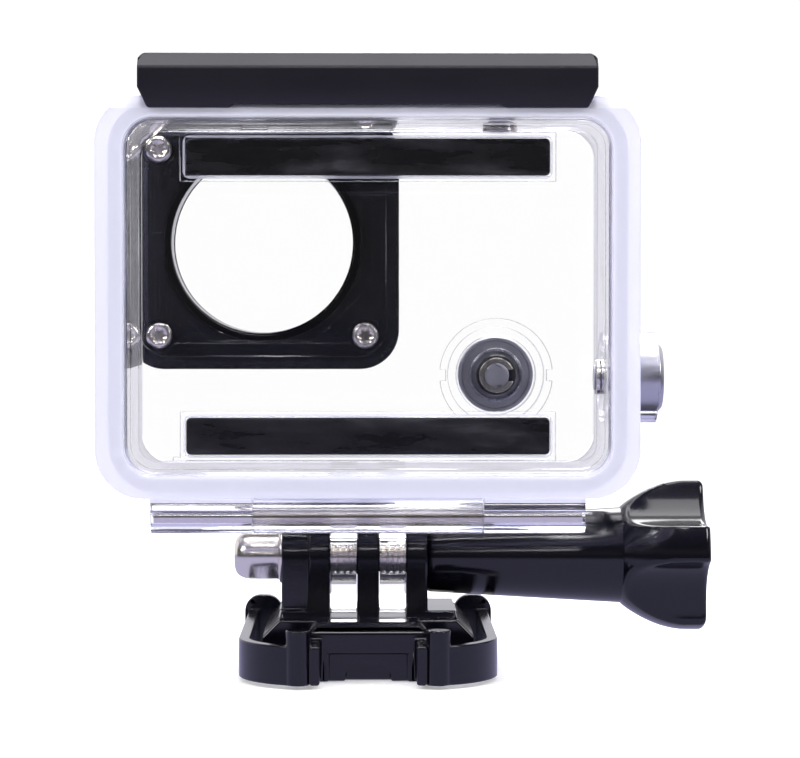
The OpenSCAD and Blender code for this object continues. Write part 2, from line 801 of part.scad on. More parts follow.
// One squeeze arm: hinge column, quarter-round blade, straight side and finger tab
module clip_arm() {
    z1 = clip_lift + clip_h;
    translate([0, 0, clip_lift]) {
        translate([clip_pivot[0], clip_pivot[1], 0]) cylinder(h = clip_h + 1.9, r = hinge_col_r);
        linear_extrude(clip_h) intersection() {
            translate(blade_c) difference() {
                circle(blade_r, $fn = 96);
                circle(blade_r - blade_t, $fn = 96);
            }
            polygon([[blade_c[0] - blade_r - 1, blade_c[1]], [blade_c[0], blade_c[1]],
                     [clip_pivot[0] + 0.6, clip_pivot[1] - 2], [blade_c[0] - blade_r - 1, clip_pivot[1] - 2]]);
        }
    }
    box([-clip_x, blade_c[1] - 0.2, clip_lift], [-clip_x + blade_t, tab_y - tab_t + 0.2, z1]);
    along_y(tab_y - tab_t, tab_y) {
        translate([-clip_x - 0.6, clip_lift]) square([tab_w, tab_h - clip_lift - 2.2]);
        translate([-clip_x - 0.6 + 2.2, clip_lift]) square([tab_w - 4.4, tab_h - clip_lift]);
        for (x = [2.2, tab_w - 2.2])
            translate([-clip_x - 0.6 + x, tab_h - 2.2]) circle(2.2);
    }
}

module left_clip_arm() {
    color([0.05, 0.05, 0.07]) clip_arm();
}

module right_clip_arm() {
    color([0.05, 0.05, 0.07]) mirror([1, 0, 0]) clip_arm();
}

module acorn_nut() {
    x0 = -boss_x;
    color("silver") difference() {
        union() {
            translate([x0, 0, pivot_z]) rotate([0, 90, 0])
                cylinder(h = nut_hex_l, r = nut_af / 2 / cos(30), $fn = 6);
            rod_x(x0 - 0.5, x0 + 0.2, nut_dome_r + 0.5, 0, pivot_z);
            translate([0, 0, pivot_z]) rotate([0, -90, 0]) rotate_extrude()
                polygon([[0, boss_x - 0.2], [nut_dome_r, boss_x - 0.2], [nut_dome_r, boss_x + nut_end - 2.2],
                         [nut_dome_r - 0.3, boss_x + nut_end - 1.2], [nut_dome_r - 1, boss_x + nut_end - 0.4],
                         [nut_dome_r - 1.8, boss_x + nut_end], [0, boss_x + nut_end]]);
        }
        rod_x(x0 - nut_end + 1.4, x0 + nut_hex_l + e, bolt_r + 0.03, 0, pivot_z);
    }
}

module thumbscrew_bolt() {
    color("silver") rod_x(-boss_x - nut_end + 1.9, shank_x0 + bolt_in_knob, bolt_r, 0, pivot_z);
}

// Outer profile of shank and knob, drawn as radius over length
module knob_profile() {
    f = knob_r - shank_r1;
    polygon([[0, shank_x0], [shank_r0, shank_x0], [shank_r1, shank_x1],
             for (i = [1 : 6]) [shank_r1 + f * pow(sin(i * 15), 0.85), shank_x1 + flare_l * i / 6],
             [knob_r, knob_x1 - 0.8], [knob_r - 0.8, knob_x1], [3, knob_x1 - 0.3], [0, knob_x1 - 0.4]]);
}

module thumbscrew_knob() {
    color([0.05, 0.05, 0.07]) difference() {
        translate([0, 0, pivot_z]) rotate([-lobe_turn, 0, 0]) rotate([0, 90, 0]) difference() {
            rotate_extrude() knob_profile();
            for (a = [0 : 90 : 270])
                rotate(a + 45) translate([flute_floor + flute_r, 0, shank_x1 + 0.6])
                    cylinder(h = knob_l + e, r = flute_r);
        }
        rod_x(shank_x0 - e, shank_x0 + bolt_in_knob, bolt_r, 0, pivot_z);
    }
}

front_shell();
back_door();
door_gasket();
door_hinge_pin();
upper_pad();
lower_pad();
lens_bezel();
lens_window();
lens_gasket();
bezel_screw(1);  // bezel_screw_1
bezel_screw(2);  // bezel_screw_2
bezel_screw(3);  // bezel_screw_3
bezel_screw(4);  // bezel_screw_4
latch_arm();
latch_bar();
latch_pin();
lock_slider();
lock_spring();
front_button();
front_spring();
front_seal();
front_clip();
shutter_button();
shutter_spring();
shutter_seal();
shutter_clip();
side_button();
side_spring();
side_seal();
side_clip();
buckle_base();
left_clip_arm();
right_clip_arm();
acorn_nut();
thumbscrew_bolt();
thumbscrew_knob();
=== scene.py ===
import json
import math

import bmesh
import bpy
import numpy as np
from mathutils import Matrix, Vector


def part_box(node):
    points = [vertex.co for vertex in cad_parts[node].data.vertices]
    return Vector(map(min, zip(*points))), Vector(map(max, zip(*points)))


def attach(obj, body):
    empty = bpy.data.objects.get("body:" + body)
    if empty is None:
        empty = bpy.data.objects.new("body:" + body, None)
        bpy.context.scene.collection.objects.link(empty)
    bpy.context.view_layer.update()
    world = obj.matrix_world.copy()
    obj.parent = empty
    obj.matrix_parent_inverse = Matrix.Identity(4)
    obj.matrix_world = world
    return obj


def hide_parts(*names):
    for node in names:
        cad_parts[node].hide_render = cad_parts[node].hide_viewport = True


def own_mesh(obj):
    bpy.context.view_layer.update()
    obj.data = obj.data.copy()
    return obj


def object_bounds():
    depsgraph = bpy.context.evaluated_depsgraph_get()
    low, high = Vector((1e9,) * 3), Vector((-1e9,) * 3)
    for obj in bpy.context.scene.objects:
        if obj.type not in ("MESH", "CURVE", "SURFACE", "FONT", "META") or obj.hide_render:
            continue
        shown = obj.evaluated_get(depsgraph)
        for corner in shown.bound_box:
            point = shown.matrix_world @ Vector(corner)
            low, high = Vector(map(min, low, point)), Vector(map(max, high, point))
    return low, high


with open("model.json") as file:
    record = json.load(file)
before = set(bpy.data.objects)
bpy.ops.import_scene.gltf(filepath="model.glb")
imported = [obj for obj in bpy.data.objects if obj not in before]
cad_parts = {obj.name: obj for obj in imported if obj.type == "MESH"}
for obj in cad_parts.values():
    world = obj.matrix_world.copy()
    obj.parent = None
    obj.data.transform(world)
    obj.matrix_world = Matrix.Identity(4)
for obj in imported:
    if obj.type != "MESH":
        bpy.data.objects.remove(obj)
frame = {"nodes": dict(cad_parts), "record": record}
cadBox = [list(corner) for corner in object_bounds()]
nodes = frame["nodes"]
record = frame["record"]
mm = 0.001
print("frame loaded:", len(nodes), "nodes")


def boxOf(name):
    # corners of a node's box in mm
    low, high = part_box(name)
    return np.array(low) / mm, np.array(high) / mm


# sizes in mm that several pieces share, read from the nodes
doorLow, doorHigh = boxOf("back_door")
boltLow, boltHigh = boxOf("thumbscrew_bolt")
pivotZ = (boltLow[2] + boltHigh[2]) / 2
gasketLow, gasketHigh = boxOf("door_gasket")
padY = boxOf("upper_pad")[0][1]
bay = {
    "width": 59.5,
    "height": 43.5,
    "radius": 3.5,
    "middleZ": (gasketLow[2] + gasketHigh[2]) / 2,
    "seamY": padY,               # plane between the door and the shell
    "flangeBackY": padY + 2.5,   # the shell's flange ends here
}


# colour and shader helpers

def linear(hexCode):
    # sRGB hex to linear light, channel by channel
    channels = [int(hexCode[i:i + 2], 16) / 255 for i in (1, 3, 5)]
    return tuple(c / 12.92 if c <= 0.04045 else ((c + 0.055) / 1.055) ** 2.4 for c in channels) + (1.0,)


def grey(value):
    return (value, value, value, 1.0)


def addNode(tree, kind, values=None, links=None, **settings):
    # one node with its settings, socket values and incoming links
    node = tree.nodes.new(kind)
    for name, value in settings.items():
        setattr(node, name, value)
    for socket, value in (values or {}).items():
        node.inputs[socket].default_value = value
    for socket, source in (links or {}).items():
        tree.links.new(source, node.inputs[socket])
    return node


def setRamp(node, stops):
    # stops are (place, colour) pairs in order
    ramp = node.color_ramp
    ramp.elements[0].position, ramp.elements[0].color = stops[0]
    ramp.elements[1].position, ramp.elements[1].color = stops[-1]
    for place, colour in stops[1:-1]:
        ramp.elements.new(place).color = colour


def newMaterial(name):
    material = bpy.data.materials.new(name)
    material.use_nodes = True
    material.node_tree.nodes.clear()
    return material, material.node_tree


def outlineDistance(tree, place, centre, size, radius):
    # metres outside a rounded rectangle in X and Z:
    # length of (|p - centre| - half + radius, floored at 0) - radius
    half = (size[0] / 2 - radius, 1000.0, size[1] / 2 - radius)   # the tall middle leaves Y out
    middle = (centre[0], 0, centre[1])
    offset = addNode(tree, "ShaderNodeVectorMath", {1: [c * mm for c in middle]}, {0: place},
                     operation="SUBTRACT")
    folded = addNode(tree, "ShaderNodeVectorMath", links={0: offset.outputs[0]}, operation="ABSOLUTE")
    beyond = addNode(tree, "ShaderNodeVectorMath", {1: [h * mm for h in half]},
                     {0: folded.outputs[0]}, operation="SUBTRACT")
    floored = addNode(tree, "ShaderNodeVectorMath", {1: (0, 0, 0)}, {0: beyond.outputs[0]},
                      operation="MAXIMUM")
    reach = addNode(tree, "ShaderNodeVectorMath", links={0: floored.outputs[0]}, operation="LENGTH")
    return addNode(tree, "ShaderNodeMath", {1: radius * mm}, {0: reach.outputs["Value"]},
                   operation="SUBTRACT").outputs[0]


# camera, light and floor

camera = {"lens": 121.0, "sensor": 36.0, "place": (0.0, -350.0, 48.0), "target": (4.16, 0.0, 37.72)}
cameraData = bpy.data.cameras.new("camera")
cameraData.lens = camera["lens"]
cameraData.sensor_width = camera["sensor"]
cameraData.clip_start = 0.01
cameraObject = bpy.data.objects.new("camera", cameraData)
cameraObject.location = Vector(camera["place"]) * mm
lookAlong = Vector(camera["target"]) * mm - cameraObject.location
cameraObject.rotation_euler = lookAlong.to_track_quat("-Z", "Y").to_euler()
bpy.context.scene.collection.objects.link(cameraObject)
bpy.context.scene.camera = cameraObject
bpy.context.scene.view_settings.view_transform = "Standard"

studio = {
    "lamps": {  # place in mm, size in mm, watts
        "overhead": ((0, 40, 560), 460, 2.0),
        "frontLeft": ((-380, -330, 330), 160, 1.1),
        "frontRight": ((400, -260, 300), 160, 0.9),
        "frontTop": ((0, -300, 400), 70, 0.2),
        "back": ((60, 420, 330), 240, 1.2),
    },
    "skyLevel": 0.78,
    "paleBehind": "#F2F1FA",
    "floorColour": "#F4F4F6",
    "floorHalf": 6.0,    # metres from the middle to each side
    "floorFill": 0.32,
    "seenWhite": 1.13,   # strength of the plain white behind clear parts
    "floorNear": 0.13,   # metres: the paper's own shade and shadow show inside this
    "floorFar": 0.34,    # metres: plain white past this
}


def pathTests(tree):
    # direct: seen by the eye, plainly or straight through clear parts
    # mirrored: at least one reflection on the way
    path = addNode(tree, "ShaderNodeLightPath")
    glossy = path.outputs["Glossy Depth"]
    bounces = addNode(tree, "ShaderNodeMath", links={0: glossy, 1: path.outputs["Diffuse Depth"]},
                      operation="ADD")
    straight = addNode(tree, "ShaderNodeMath", {1: 0.5}, {0: bounces.outputs[0]}, operation="LESS_THAN")
    through = addNode(tree, "ShaderNodeMath",
                      links={0: path.outputs["Is Transmission Ray"], 1: straight.outputs[0]},
                      operation="MULTIPLY")
    direct = addNode(tree, "ShaderNodeMath",
                     links={0: path.outputs["Is Camera Ray"], 1: through.outputs[0]},
                     operation="MAXIMUM")
    mirrored = addNode(tree, "ShaderNodeMath", {1: 0.5}, {0: glossy}, operation="GREATER_THAN")
    return direct.outputs[0], mirrored.outputs[0]


def buildLamps():
    aim = Vector((0, 0, 40)) * mm
    for name, (place, size, watts) in studio["lamps"].items():
        lampData = bpy.data.lights.new(name, "AREA")
        lampData.energy = watts
        lampData.size = size * mm
        lamp = bpy.data.objects.new(name, lampData)
        lamp.location = Vector(place) * mm
        lamp.rotation_euler = (aim - lamp.location).to_track_quat("-Z", "Y").to_euler()
        bpy.context.scene.collection.objects.link(lamp)


def buildWorld():
    # white to the eye and straight through clear parts; lit surfaces see an even sky;
    # gloss sees a dark room with a faint strip and a paler ceiling, and a pale wall towards +Y
    world = bpy.data.worlds.new("studioWorld")
    bpy.context.scene.world = world
    world.use_nodes = True
    tree = world.node_tree
    tree.nodes.clear()
    coordinates = addNode(tree, "ShaderNodeTexCoord")
    split = addNode(tree, "ShaderNodeSeparateXYZ", links={"Vector": coordinates.outputs["Generated"]})
    room = addNode(tree, "ShaderNodeValToRGB", links={"Fac": split.outputs["Z"]})
    setRamp(room, [(0.0, grey(0.04)), (0.07, grey(0.04)), (0.12, grey(0.14)), (0.2, grey(0.14)),
                   (0.26, grey(0.04)), (0.5, linear("#55536A")), (0.8, linear("#8E8CA0")),
                   (1.0, linear("#C8C6DC"))])
    behind = addNode(tree, "ShaderNodeMapRange", {"From Min": 0.0, "From Max": 0.35},
                     {"Value": split.outputs["Y"]}, interpolation_type="SMOOTHSTEP")
    lined = addNode(tree, "ShaderNodeMix", {"B": linear(studio["paleBehind"])},
                    {"Factor": behind.outputs["Result"], "A": room.outputs["Color"]}, data_type="RGBA")
    direct, mirrored = pathTests(tree)
    sky = addNode(tree, "ShaderNodeBackground", {"Color": grey(1.0), "Strength": studio["skyLevel"]})
    gloss = addNode(tree, "ShaderNodeBackground", {"Strength": 1.0}, {"Color": lined.outputs["Result"]})
    white = addNode(tree, "ShaderNodeBackground",
                    {"Color": grey(1.0), "Strength": studio["seenWhite"]})
    light = addNode(tree, "ShaderNodeMixShader",
                    links={0: mirrored, 1: sky.outputs[0], 2: gloss.outputs[0]})
    final = addNode(tree, "ShaderNodeMixShader",
                    links={0: direct, 1: light.outputs[0], 2: white.outputs[0]})
    addNode(tree, "ShaderNodeOutputWorld", links={"Surface": final.outputs[0]})


def buildFloor():
    # pale sweep: near the object it is lit paper with its shadow, further out plain white;
    # reflections see painted light instead: a glow, lilac near, dim in front and pale towards +Y
    material, tree = newMaterial("palePaperSweep")
    coordinates = addNode(tree, "ShaderNodeTexCoord")
    reach = addNode(tree, "ShaderNodeVectorMath", links={0: coordinates.outputs["Object"]},
                    operation="LENGTH")
    far = addNode(tree, "ShaderNodeMapRange",
                  {"From Min": studio["floorNear"], "From Max": studio["floorFar"]},
                  {"Value": reach.outputs["Value"]}, interpolation_type="SMOOTHSTEP")
    direct, mirrored = pathTests(tree)
    fill = addNode(tree, "ShaderNodeMath", {1: studio["floorFill"]}, {0: direct},
                   operation="MULTIPLY")
    paper = addNode(tree, "ShaderNodeBsdfDiffuse", {"Color": linear(studio["floorColour"])})
    glow = addNode(tree, "ShaderNodeEmission", {"Color": grey(1.0)}, {"Strength": fill.outputs[0]})
    lit = addNode(tree, "ShaderNodeAddShader", links={0: paper.outputs[0], 1: glow.outputs[0]})
    # painted reflection: a lilac glow near the object, seen only in reflections
    lilac = addNode(tree, "ShaderNodeEmission", {"Color": linear("#BCBAE2"), "Strength": 1.0})
    near = addNode(tree, "ShaderNodeMixShader",
                   links={0: mirrored, 1: lit.outputs[0], 2: lilac.outputs[0]})
    plain = addNode(tree, "ShaderNodeEmission",
                    {"Color": grey(1.0), "Strength": studio["seenWhite"]})
    # painted reflection: a dim glow in front and a pale glow towards +Y, seen only in reflections
    dim = addNode(tree, "ShaderNodeEmission", {"Color": linear("#8A88A0"), "Strength": 0.08})
    split = addNode(tree, "ShaderNodeSeparateXYZ", links={"Vector": coordinates.outputs["Object"]})
    behind = addNode(tree, "ShaderNodeMapRange", {"From Min": 0.05, "From Max": 0.3},
                     {"Value": split.outputs["Y"]}, interpolation_type="SMOOTHSTEP")
    pale = addNode(tree, "ShaderNodeEmission", {"Color": linear(studio["paleBehind"]), "Strength": 1.0})
    gloss = addNode(tree, "ShaderNodeMixShader",
                    links={0: behind.outputs["Result"], 1: dim.outputs[0], 2: pale.outputs[0]})
    beyond = addNode(tree, "ShaderNodeMixShader",
                     links={0: mirrored, 1: plain.outputs[0], 2: gloss.outputs[0]})
    final = addNode(tree, "ShaderNodeMixShader",
                    links={0: far.outputs["Result"], 1: near.outputs[0], 2: beyond.outputs[0]})
    addNode(tree, "ShaderNodeOutputMaterial", links={"Surface": final.outputs[0]})
    half = studio["floorHalf"]
    mesh = bpy.data.meshes.new("floor")
    corners = [(-half, -half, 0), (half, -half, 0), (half, half, 0), (-half, half, 0)]
    mesh.from_pydata(corners, [], [(0, 1, 2, 3)])
    mesh.materials.append(material)
    floor = bpy.data.objects.new("floor", mesh)
    floor.location.z = cadBox[0][2] - 0.0001
    bpy.context.scene.collection.objects.link(floor)


buildLamps()
buildWorld()
buildFloor()
print("studio built")


# materials

clearPlastic = {
    "refraction": 1.47,      # below the real 1.585, so that the flat walls pass more light
    "polish": 0.01,          # roughness of the clear faces
    "edgeRound": 0.14,       # mm
    "flow": 11,              # mm, slow waves left by the moulding
    # painted light: pale colour for light caught inside the clear flange and ribs, with the white gasket
    # showing through
    "paintedGlow": "#E5E5F5",
    "paintedGlowRough": 0.3,
    "paintedGlowClear": 0.45,       # share of light that still passes where the glow is painted
    "bandEdge": (0.1, 0.5),  # mm outside the bay where the painted glow on the flange fades in
    "flangeDrop": 50.2,      # mm from the door's top down to the flange's lower end
    "ribInner": (0.0, 0.1),  # mm round each pad where its painted bright frame line starts
    "ribOuter": (0.42, 0.34),
    "ribShare": 0.85,
}


def paintedGlowPlaces(tree, place):
    # 0 to 1, where light is painted: a pale band on the flange round the bay, and thin bright frame lines
    #                                 round the pads
    split = addNode(tree, "ShaderNodeSeparateXYZ", links={"Vector": place})
    behind = addNode(tree, "ShaderNodeMath", {1: (bay["flangeBackY"] + 0.1) * mm},
                     {0: split.outputs["Y"]}, operation="LESS_THAN")
    outside = outlineDistance(tree, place, (0, bay["middleZ"]), (bay["width"], bay["height"]),
                              bay["radius"])
    above = addNode(tree, "ShaderNodeMath", {1: (doorHigh[2] - clearPlastic["flangeDrop"]) * mm},
                    {0: split.outputs["Z"]}, operation="GREATER_THAN")
    start, full = clearPlastic["bandEdge"]
    fade = addNode(tree, "ShaderNodeMapRange", {"From Min": start * mm, "From Max": full * mm},
                   {"Value": outside}, interpolation_type="SMOOTHSTEP")
    inFlange = addNode(tree, "ShaderNodeMath", links={0: behind.outputs[0], 1: above.outputs[0]},
                       operation="MULTIPLY")
    band = addNode(tree, "ShaderNodeMath", links={0: fade.outputs["Result"], 1: inFlange.outputs[0]},
                   operation="MULTIPLY")
    ribs = []
    for pad in ("upper_pad", "lower_pad"):
        low, high = boxOf(pad)
        apart = outlineDistance(tree, place, ((low[0] + high[0]) / 2, (low[2] + high[2]) / 2),
                                (high[0] - low[0], high[2] - low[2]), 0.6)
        sides = [addNode(tree, "ShaderNodeMapRange", {"From Min": near * mm, "From Max": away * mm},
                         {"Value": apart}, interpolation_type="SMOOTHSTEP").outputs["Result"]
                 for near, away in (clearPlastic["ribInner"], clearPlastic["ribOuter"])]
        ribs.append(addNode(tree, "ShaderNodeMath", links={0: sides[0], 1: sides[1]},
                            operation="MULTIPLY").outputs[0])
    raised = addNode(tree, "ShaderNodeMath", {1: (bay["seamY"] + 0.03) * mm},
                     {0: split.outputs["Y"]}, operation="GREATER_THAN")
    either = addNode(tree, "ShaderNodeMath", links={0: ribs[0], 1: ribs[1]}, operation="MAXIMUM")
    depth = addNode(tree, "ShaderNodeMath", links={0: raised.outputs[0], 1: behind.outputs[0]},
                    operation="MULTIPLY")
    rib = addNode(tree, "ShaderNodeMath", links={0: either.outputs[0], 1: depth.outputs[0]},
                  operation="MULTIPLY")
    faint = addNode(tree, "ShaderNodeMath", {1: clearPlastic["ribShare"]}, {0: rib.outputs[0]},
                    operation="MULTIPLY")
    return addNode(tree, "ShaderNodeMath", links={0: band.outputs[0], 1: faint.outputs[0]},
                   operation="MAXIMUM").outputs[0]


def clearPolycarbonate(name, tint, edgeTintAndShade, paintedGlowBand):
    # injection-moulded polycarbonate: polished and clear face-on; the grey-lilac along its walls is painted
    # shade for walls seen edge-on, over the plastic's own faint tint;
    # on the flange, painted light: a pale band for light caught inside the plastic
    material, tree = newMaterial(name)
    place = addNode(tree, "ShaderNodeTexCoord").outputs["Object"]
    # painted shade: the colour greys towards the edge tint as a face turns edge-on to the eye
    facing = addNode(tree, "ShaderNodeLayerWeight", {"Blend": 0.3})
    colour = addNode(tree, "ShaderNodeValToRGB", links={"Fac": facing.outputs["Facing"]})
    setRamp(colour, [(0.0, grey(1.0)), (0.6, linear(tint)), (1.0, linear(edgeTintAndShade))])
    flow = addNode(tree, "ShaderNodeTexNoise",
                   {"Scale": 1 / (clearPlastic["flow"] * mm), "Detail": 2.0}, {"Vector": place})
    edges = addNode(tree, "ShaderNodeBevel", {"Radius": clearPlastic["edgeRound"] * mm}, samples=4)
    bump = addNode(tree, "ShaderNodeBump", {"Strength": 0.05, "Distance": 0.3 * mm},
                   {"Height": flow.outputs["Fac"], "Normal": edges.outputs["Normal"]})
    surface = addNode(tree, "ShaderNodeBsdfPrincipled",
                      {"Roughness": clearPlastic["polish"], "IOR": clearPlastic["refraction"],
                       "Transmission Weight": 1.0}, {"Normal": bump.outputs["Normal"]})
    # painted light on the flange and the frame lines: paler, rougher and passing less light
    if paintedGlowBand:
        paintedGlow = paintedGlowPlaces(tree, place)
        passes = addNode(tree, "ShaderNodeMapRange",
                         {"To Min": 1.0, "To Max": clearPlastic["paintedGlowClear"]}, {"Value": paintedGlow})
        rough = addNode(tree, "ShaderNodeMapRange",
                        {"To Min": clearPlastic["polish"], "To Max": clearPlastic["paintedGlowRough"]},
                        {"Value": paintedGlow})
        glowTinted = addNode(tree, "ShaderNodeMix", {"B": linear(clearPlastic["paintedGlow"])},
                        {"Factor": paintedGlow, "A": colour.outputs["Color"]}, data_type="RGBA")
        tree.links.new(passes.outputs["Result"], surface.inputs["Transmission Weight"])
        tree.links.new(rough.outputs["Result"], surface.inputs["Roughness"])
        tree.links.new(glowTinted.outputs["Result"], surface.inputs["Base Color"])
    else:
        tree.links.new(colour.outputs["Color"], surface.inputs["Base Color"])
    path = addNode(tree, "ShaderNodeLightPath")
    passing = addNode(tree, "ShaderNodeBsdfTransparent", {"Color": linear("#F6F6FC")})
    final = addNode(tree, "ShaderNodeMixShader",
                    links={0: path.outputs["Is Shadow Ray"], 1: surface.outputs[0],
                           2: passing.outputs[0]})
    addNode(tree, "ShaderNodeOutputMaterial", links={"Surface": final.outputs[0]})
    return material


def mouldedBlack(name, colour, roughness, grainMm, bumpMm, specular=0.5):
    # moulded black plastic: mould grain in the bump, uneven gloss from handling
    material, tree = newMaterial(name)
    coordinates = addNode(tree, "ShaderNodeTexCoord")
    grain = addNode(tree, "ShaderNodeTexNoise", {"Scale": 1 / (grainMm * mm), "Detail": 3.0},
                    {"Vector": coordinates.outputs["Object"]})
    patches = addNode(tree, "ShaderNodeTexNoise", {"Scale": 1 / (9 * mm), "Detail": 4.0},
                      {"Vector": coordinates.outputs["Object"]})
    gloss = addNode(tree, "ShaderNodeMapRange",
                    {"To Min": roughness * 0.75, "To Max": roughness * 1.3},
                    {"Value": patches.outputs["Fac"]})
    bump = addNode(tree, "ShaderNodeBump", {"Strength": 0.3, "Distance": bumpMm * mm},
                   {"Height": grain.outputs["Fac"]})
    surface = addNode(tree, "ShaderNodeBsdfPrincipled",
                      {"Base Color": linear(colour), "IOR": 1.53, "Specular IOR Level": specular},
                      {"Roughness": gloss.outputs["Result"], "Normal": bump.outputs["Normal"]})
    addNode(tree, "ShaderNodeOutputMaterial", links={"Surface": surface.outputs[0]})
    return material


def turnedMetal(name, colour, roughness, lineMm, stretchAxis):
    # turned or drawn metal: fine tool lines from a noise squeezed along one axis
    material, tree = newMaterial(name)
    coordinates = addNode(tree, "ShaderNodeTexCoord")
    scale = [0.15, 0.15, 0.15]
    scale[stretchAxis] = 1.0
    place = addNode(tree, "ShaderNodeMapping", {"Scale": scale}, {"Vector": coordinates.outputs["Object"]})
    lines = addNode(tree, "ShaderNodeTexNoise", {"Scale": 1 / (lineMm * mm), "Detail": 3.0},
                    {"Vector": place.outputs["Vector"]})
    gloss = addNode(tree, "ShaderNodeMapRange", {"To Min": roughness * 0.6, "To Max": roughness * 1.5},
                    {"Value": lines.outputs["Fac"]})
    bump = addNode(tree, "ShaderNodeBump", {"Strength": 0.2, "Distance": 0.02 * mm},
                   {"Height": lines.outputs["Fac"]})
    surface = addNode(tree, "ShaderNodeBsdfPrincipled", {"Base Color": linear(colour), "Metallic": 1.0},
                      {"Roughness": gloss.outputs["Result"], "Normal": bump.outputs["Normal"]})
    addNode(tree, "ShaderNodeOutputMaterial", links={"Surface": surface.outputs[0]})
    return material


def softRubber(name, colour, roughness, bloomMm):
    # moulded rubber or silicone: matt, with a faint bloom
    material, tree = newMaterial(name)
    coordinates = addNode(tree, "ShaderNodeTexCoord")
    bloom = addNode(tree, "ShaderNodeTexNoise", {"Scale": 1 / (bloomMm * mm), "Detail": 3.0},
                    {"Vector": coordinates.outputs["Object"]})
    shade = addNode(tree, "ShaderNodeMapRange",
                    {"To Min": roughness * 0.8, "To Max": roughness * 1.25},
                    {"Value": bloom.outputs["Fac"]})
    bump = addNode(tree, "ShaderNodeBump", {"Strength": 0.15, "Distance": 0.03 * mm},
                   {"Height": bloom.outputs["Fac"]})
    surface = addNode(tree, "ShaderNodeBsdfPrincipled", {"Base Color": linear(colour), "IOR": 1.42},
                      {"Roughness": shade.outputs["Result"], "Normal": bump.outputs["Normal"]})
    addNode(tree, "ShaderNodeOutputMaterial", links={"Surface": surface.outputs[0]})
    return material


def stuckFoam(name):
    # closed-cell foam with a skin, stuck flat: black where the glue wets out,
    # grey smears of painted sheen where it has let go of the plastic
    material, tree = newMaterial(name)
    coordinates = addNode(tree, "ShaderNodeTexCoord")
    place = addNode(tree, "ShaderNodeMapping", {"Scale": (0.22, 1.0, 1.0), "Rotation": (0.0, 0.06, 0.0)},
                    {"Vector": coordinates.outputs["Object"]})
    sheenSmears = addNode(tree, "ShaderNodeTexNoise", {"Scale": 1 / (2.6 * mm), "Detail": 6.0, "Roughness": 0.62},
                     {"Vector": place.outputs["Vector"]})
    cells = addNode(tree, "ShaderNodeTexNoise", {"Scale": 1 / (0.35 * mm), "Detail": 2.0},
                    {"Vector": coordinates.outputs["Object"]})
    colour = addNode(tree, "ShaderNodeValToRGB", links={"Fac": sheenSmears.outputs["Fac"]})
    # painted sheen: the lighter greys stand for the shine where the foam has let go
    setRamp(colour, [(0.0, linear("#050506")), (0.5, linear("#0D0D10")), (0.58, linear("#17161A")),
                     (0.66, linear("#2A292E")), (1.0, linear("#3C3B41"))])
    gloss = addNode(tree, "ShaderNodeMapRange",
                    {"From Min": 0.4, "From Max": 0.7, "To Min": 0.2, "To Max": 0.6},
                    {"Value": sheenSmears.outputs["Fac"]})
    bump = addNode(tree, "ShaderNodeBump", {"Strength": 0.3, "Distance": 0.05 * mm},
                   {"Height": cells.outputs["Fac"]})
    surface = addNode(tree, "ShaderNodeBsdfPrincipled", {"IOR": 1.45},
                      {"Base Color": colour.outputs["Color"], "Roughness": gloss.outputs["Result"],
                       "Normal": bump.outputs["Normal"]})
    addNode(tree, "ShaderNodeOutputMaterial", links={"Surface": surface.outputs[0]})
    return material


finishes = {
    # second colour: the plastic's faint face-on tint; third: painted grey-lilac shade for walls seen edge-on
    "clear_shell": clearPolycarbonate("clearPolycarbonateMoulded", "#F6F5FD", "#D6D4E4", True),
    "clear_door": clearPolycarbonate("clearPolycarbonateDoor", "#F6F5FD", "#D6D4E4", True),
    "clear_window": clearPolycarbonate("hardCoatedWindow", "#F6F7FF", "#DCDDEC", False),
    "white_silicone": softRubber("whiteSiliconeSeal", "#E9E8F4", 0.5, 1.5),
    "black_foam": stuckFoam("skinnedFoamStuck"),
    "bezel_black": mouldedBlack("glossBlackAbsBezel", "#101018", 0.2, 0.6, 0.02),
    "latch_black": mouldedBlack("satinBlackNylonLatch", "#15131C", 0.34, 0.25, 0.03, 0.35),
    "lock_grey": mouldedBlack("satinGreyNylonLock", "#2B2A33", 0.42, 0.25, 0.04),
    "button_metal": turnedMetal("clearAnodisedTurned", "#C6C6CC", 0.32, 0.3, 1),
    "bright_steel": turnedMetal("turnedStainlessSteel", "#F0EADF", 0.18, 0.3, 0),
    "spring_steel": turnedMetal("drawnSpringWire", "#A9A9AE", 0.25, 0.2, 0),
    "black_rubber": softRubber("mouldedNitrileSeal", "#0B0B0D", 0.45, 0.8),
    "buckle_black": mouldedBlack("glossBlackAbsBuckle", "#07070E", 0.13, 0.8, 0.02),
}
slotOf = {part["node"]: part["material_slot"] for part in record["subparts"]}
bodyOf = {node: body for body, members in record["behaviour"]["bodies"].items() for node in members}
for name, node in nodes.items():
    node.data.materials.clear()
    node.data.materials.append(finishes[slotOf[name]])
print("materials assigned:", len(finishes))


# mesh helpers

def putMesh(name, points, faces, sharpDegrees=40.0):
    # points in mm; doubles are merged first, then the normals turned outwards
    mesh = bpy.data.meshes.new(name)
    mesh.from_pydata((np.asarray(points, float) * mm).tolist(), [], faces)
    work = bmesh.new()
    work.from_mesh(mesh)
    bmesh.ops.remove_doubles(work, verts=work.verts, dist=1e-7)
    bmesh.ops.recalc_face_normals(work, faces=work.faces)
    work.to_mesh(mesh)
    work.free()
    mesh.shade_smooth()
    mesh.set_sharp_from_angle(angle=math.radians(sharpDegrees))
    piece = bpy.data.objects.new(name, mesh)
    bpy.context.scene.collection.objects.link(piece)
    return piece


def settle(piece, node):
    # the piece takes a node's place: it joins the node's body and takes the finish of the node's slot, and
    # the node is hidden
    piece.data.materials.append(finishes[slotOf[node]])
    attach(piece, bodyOf[node])
    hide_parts(node)


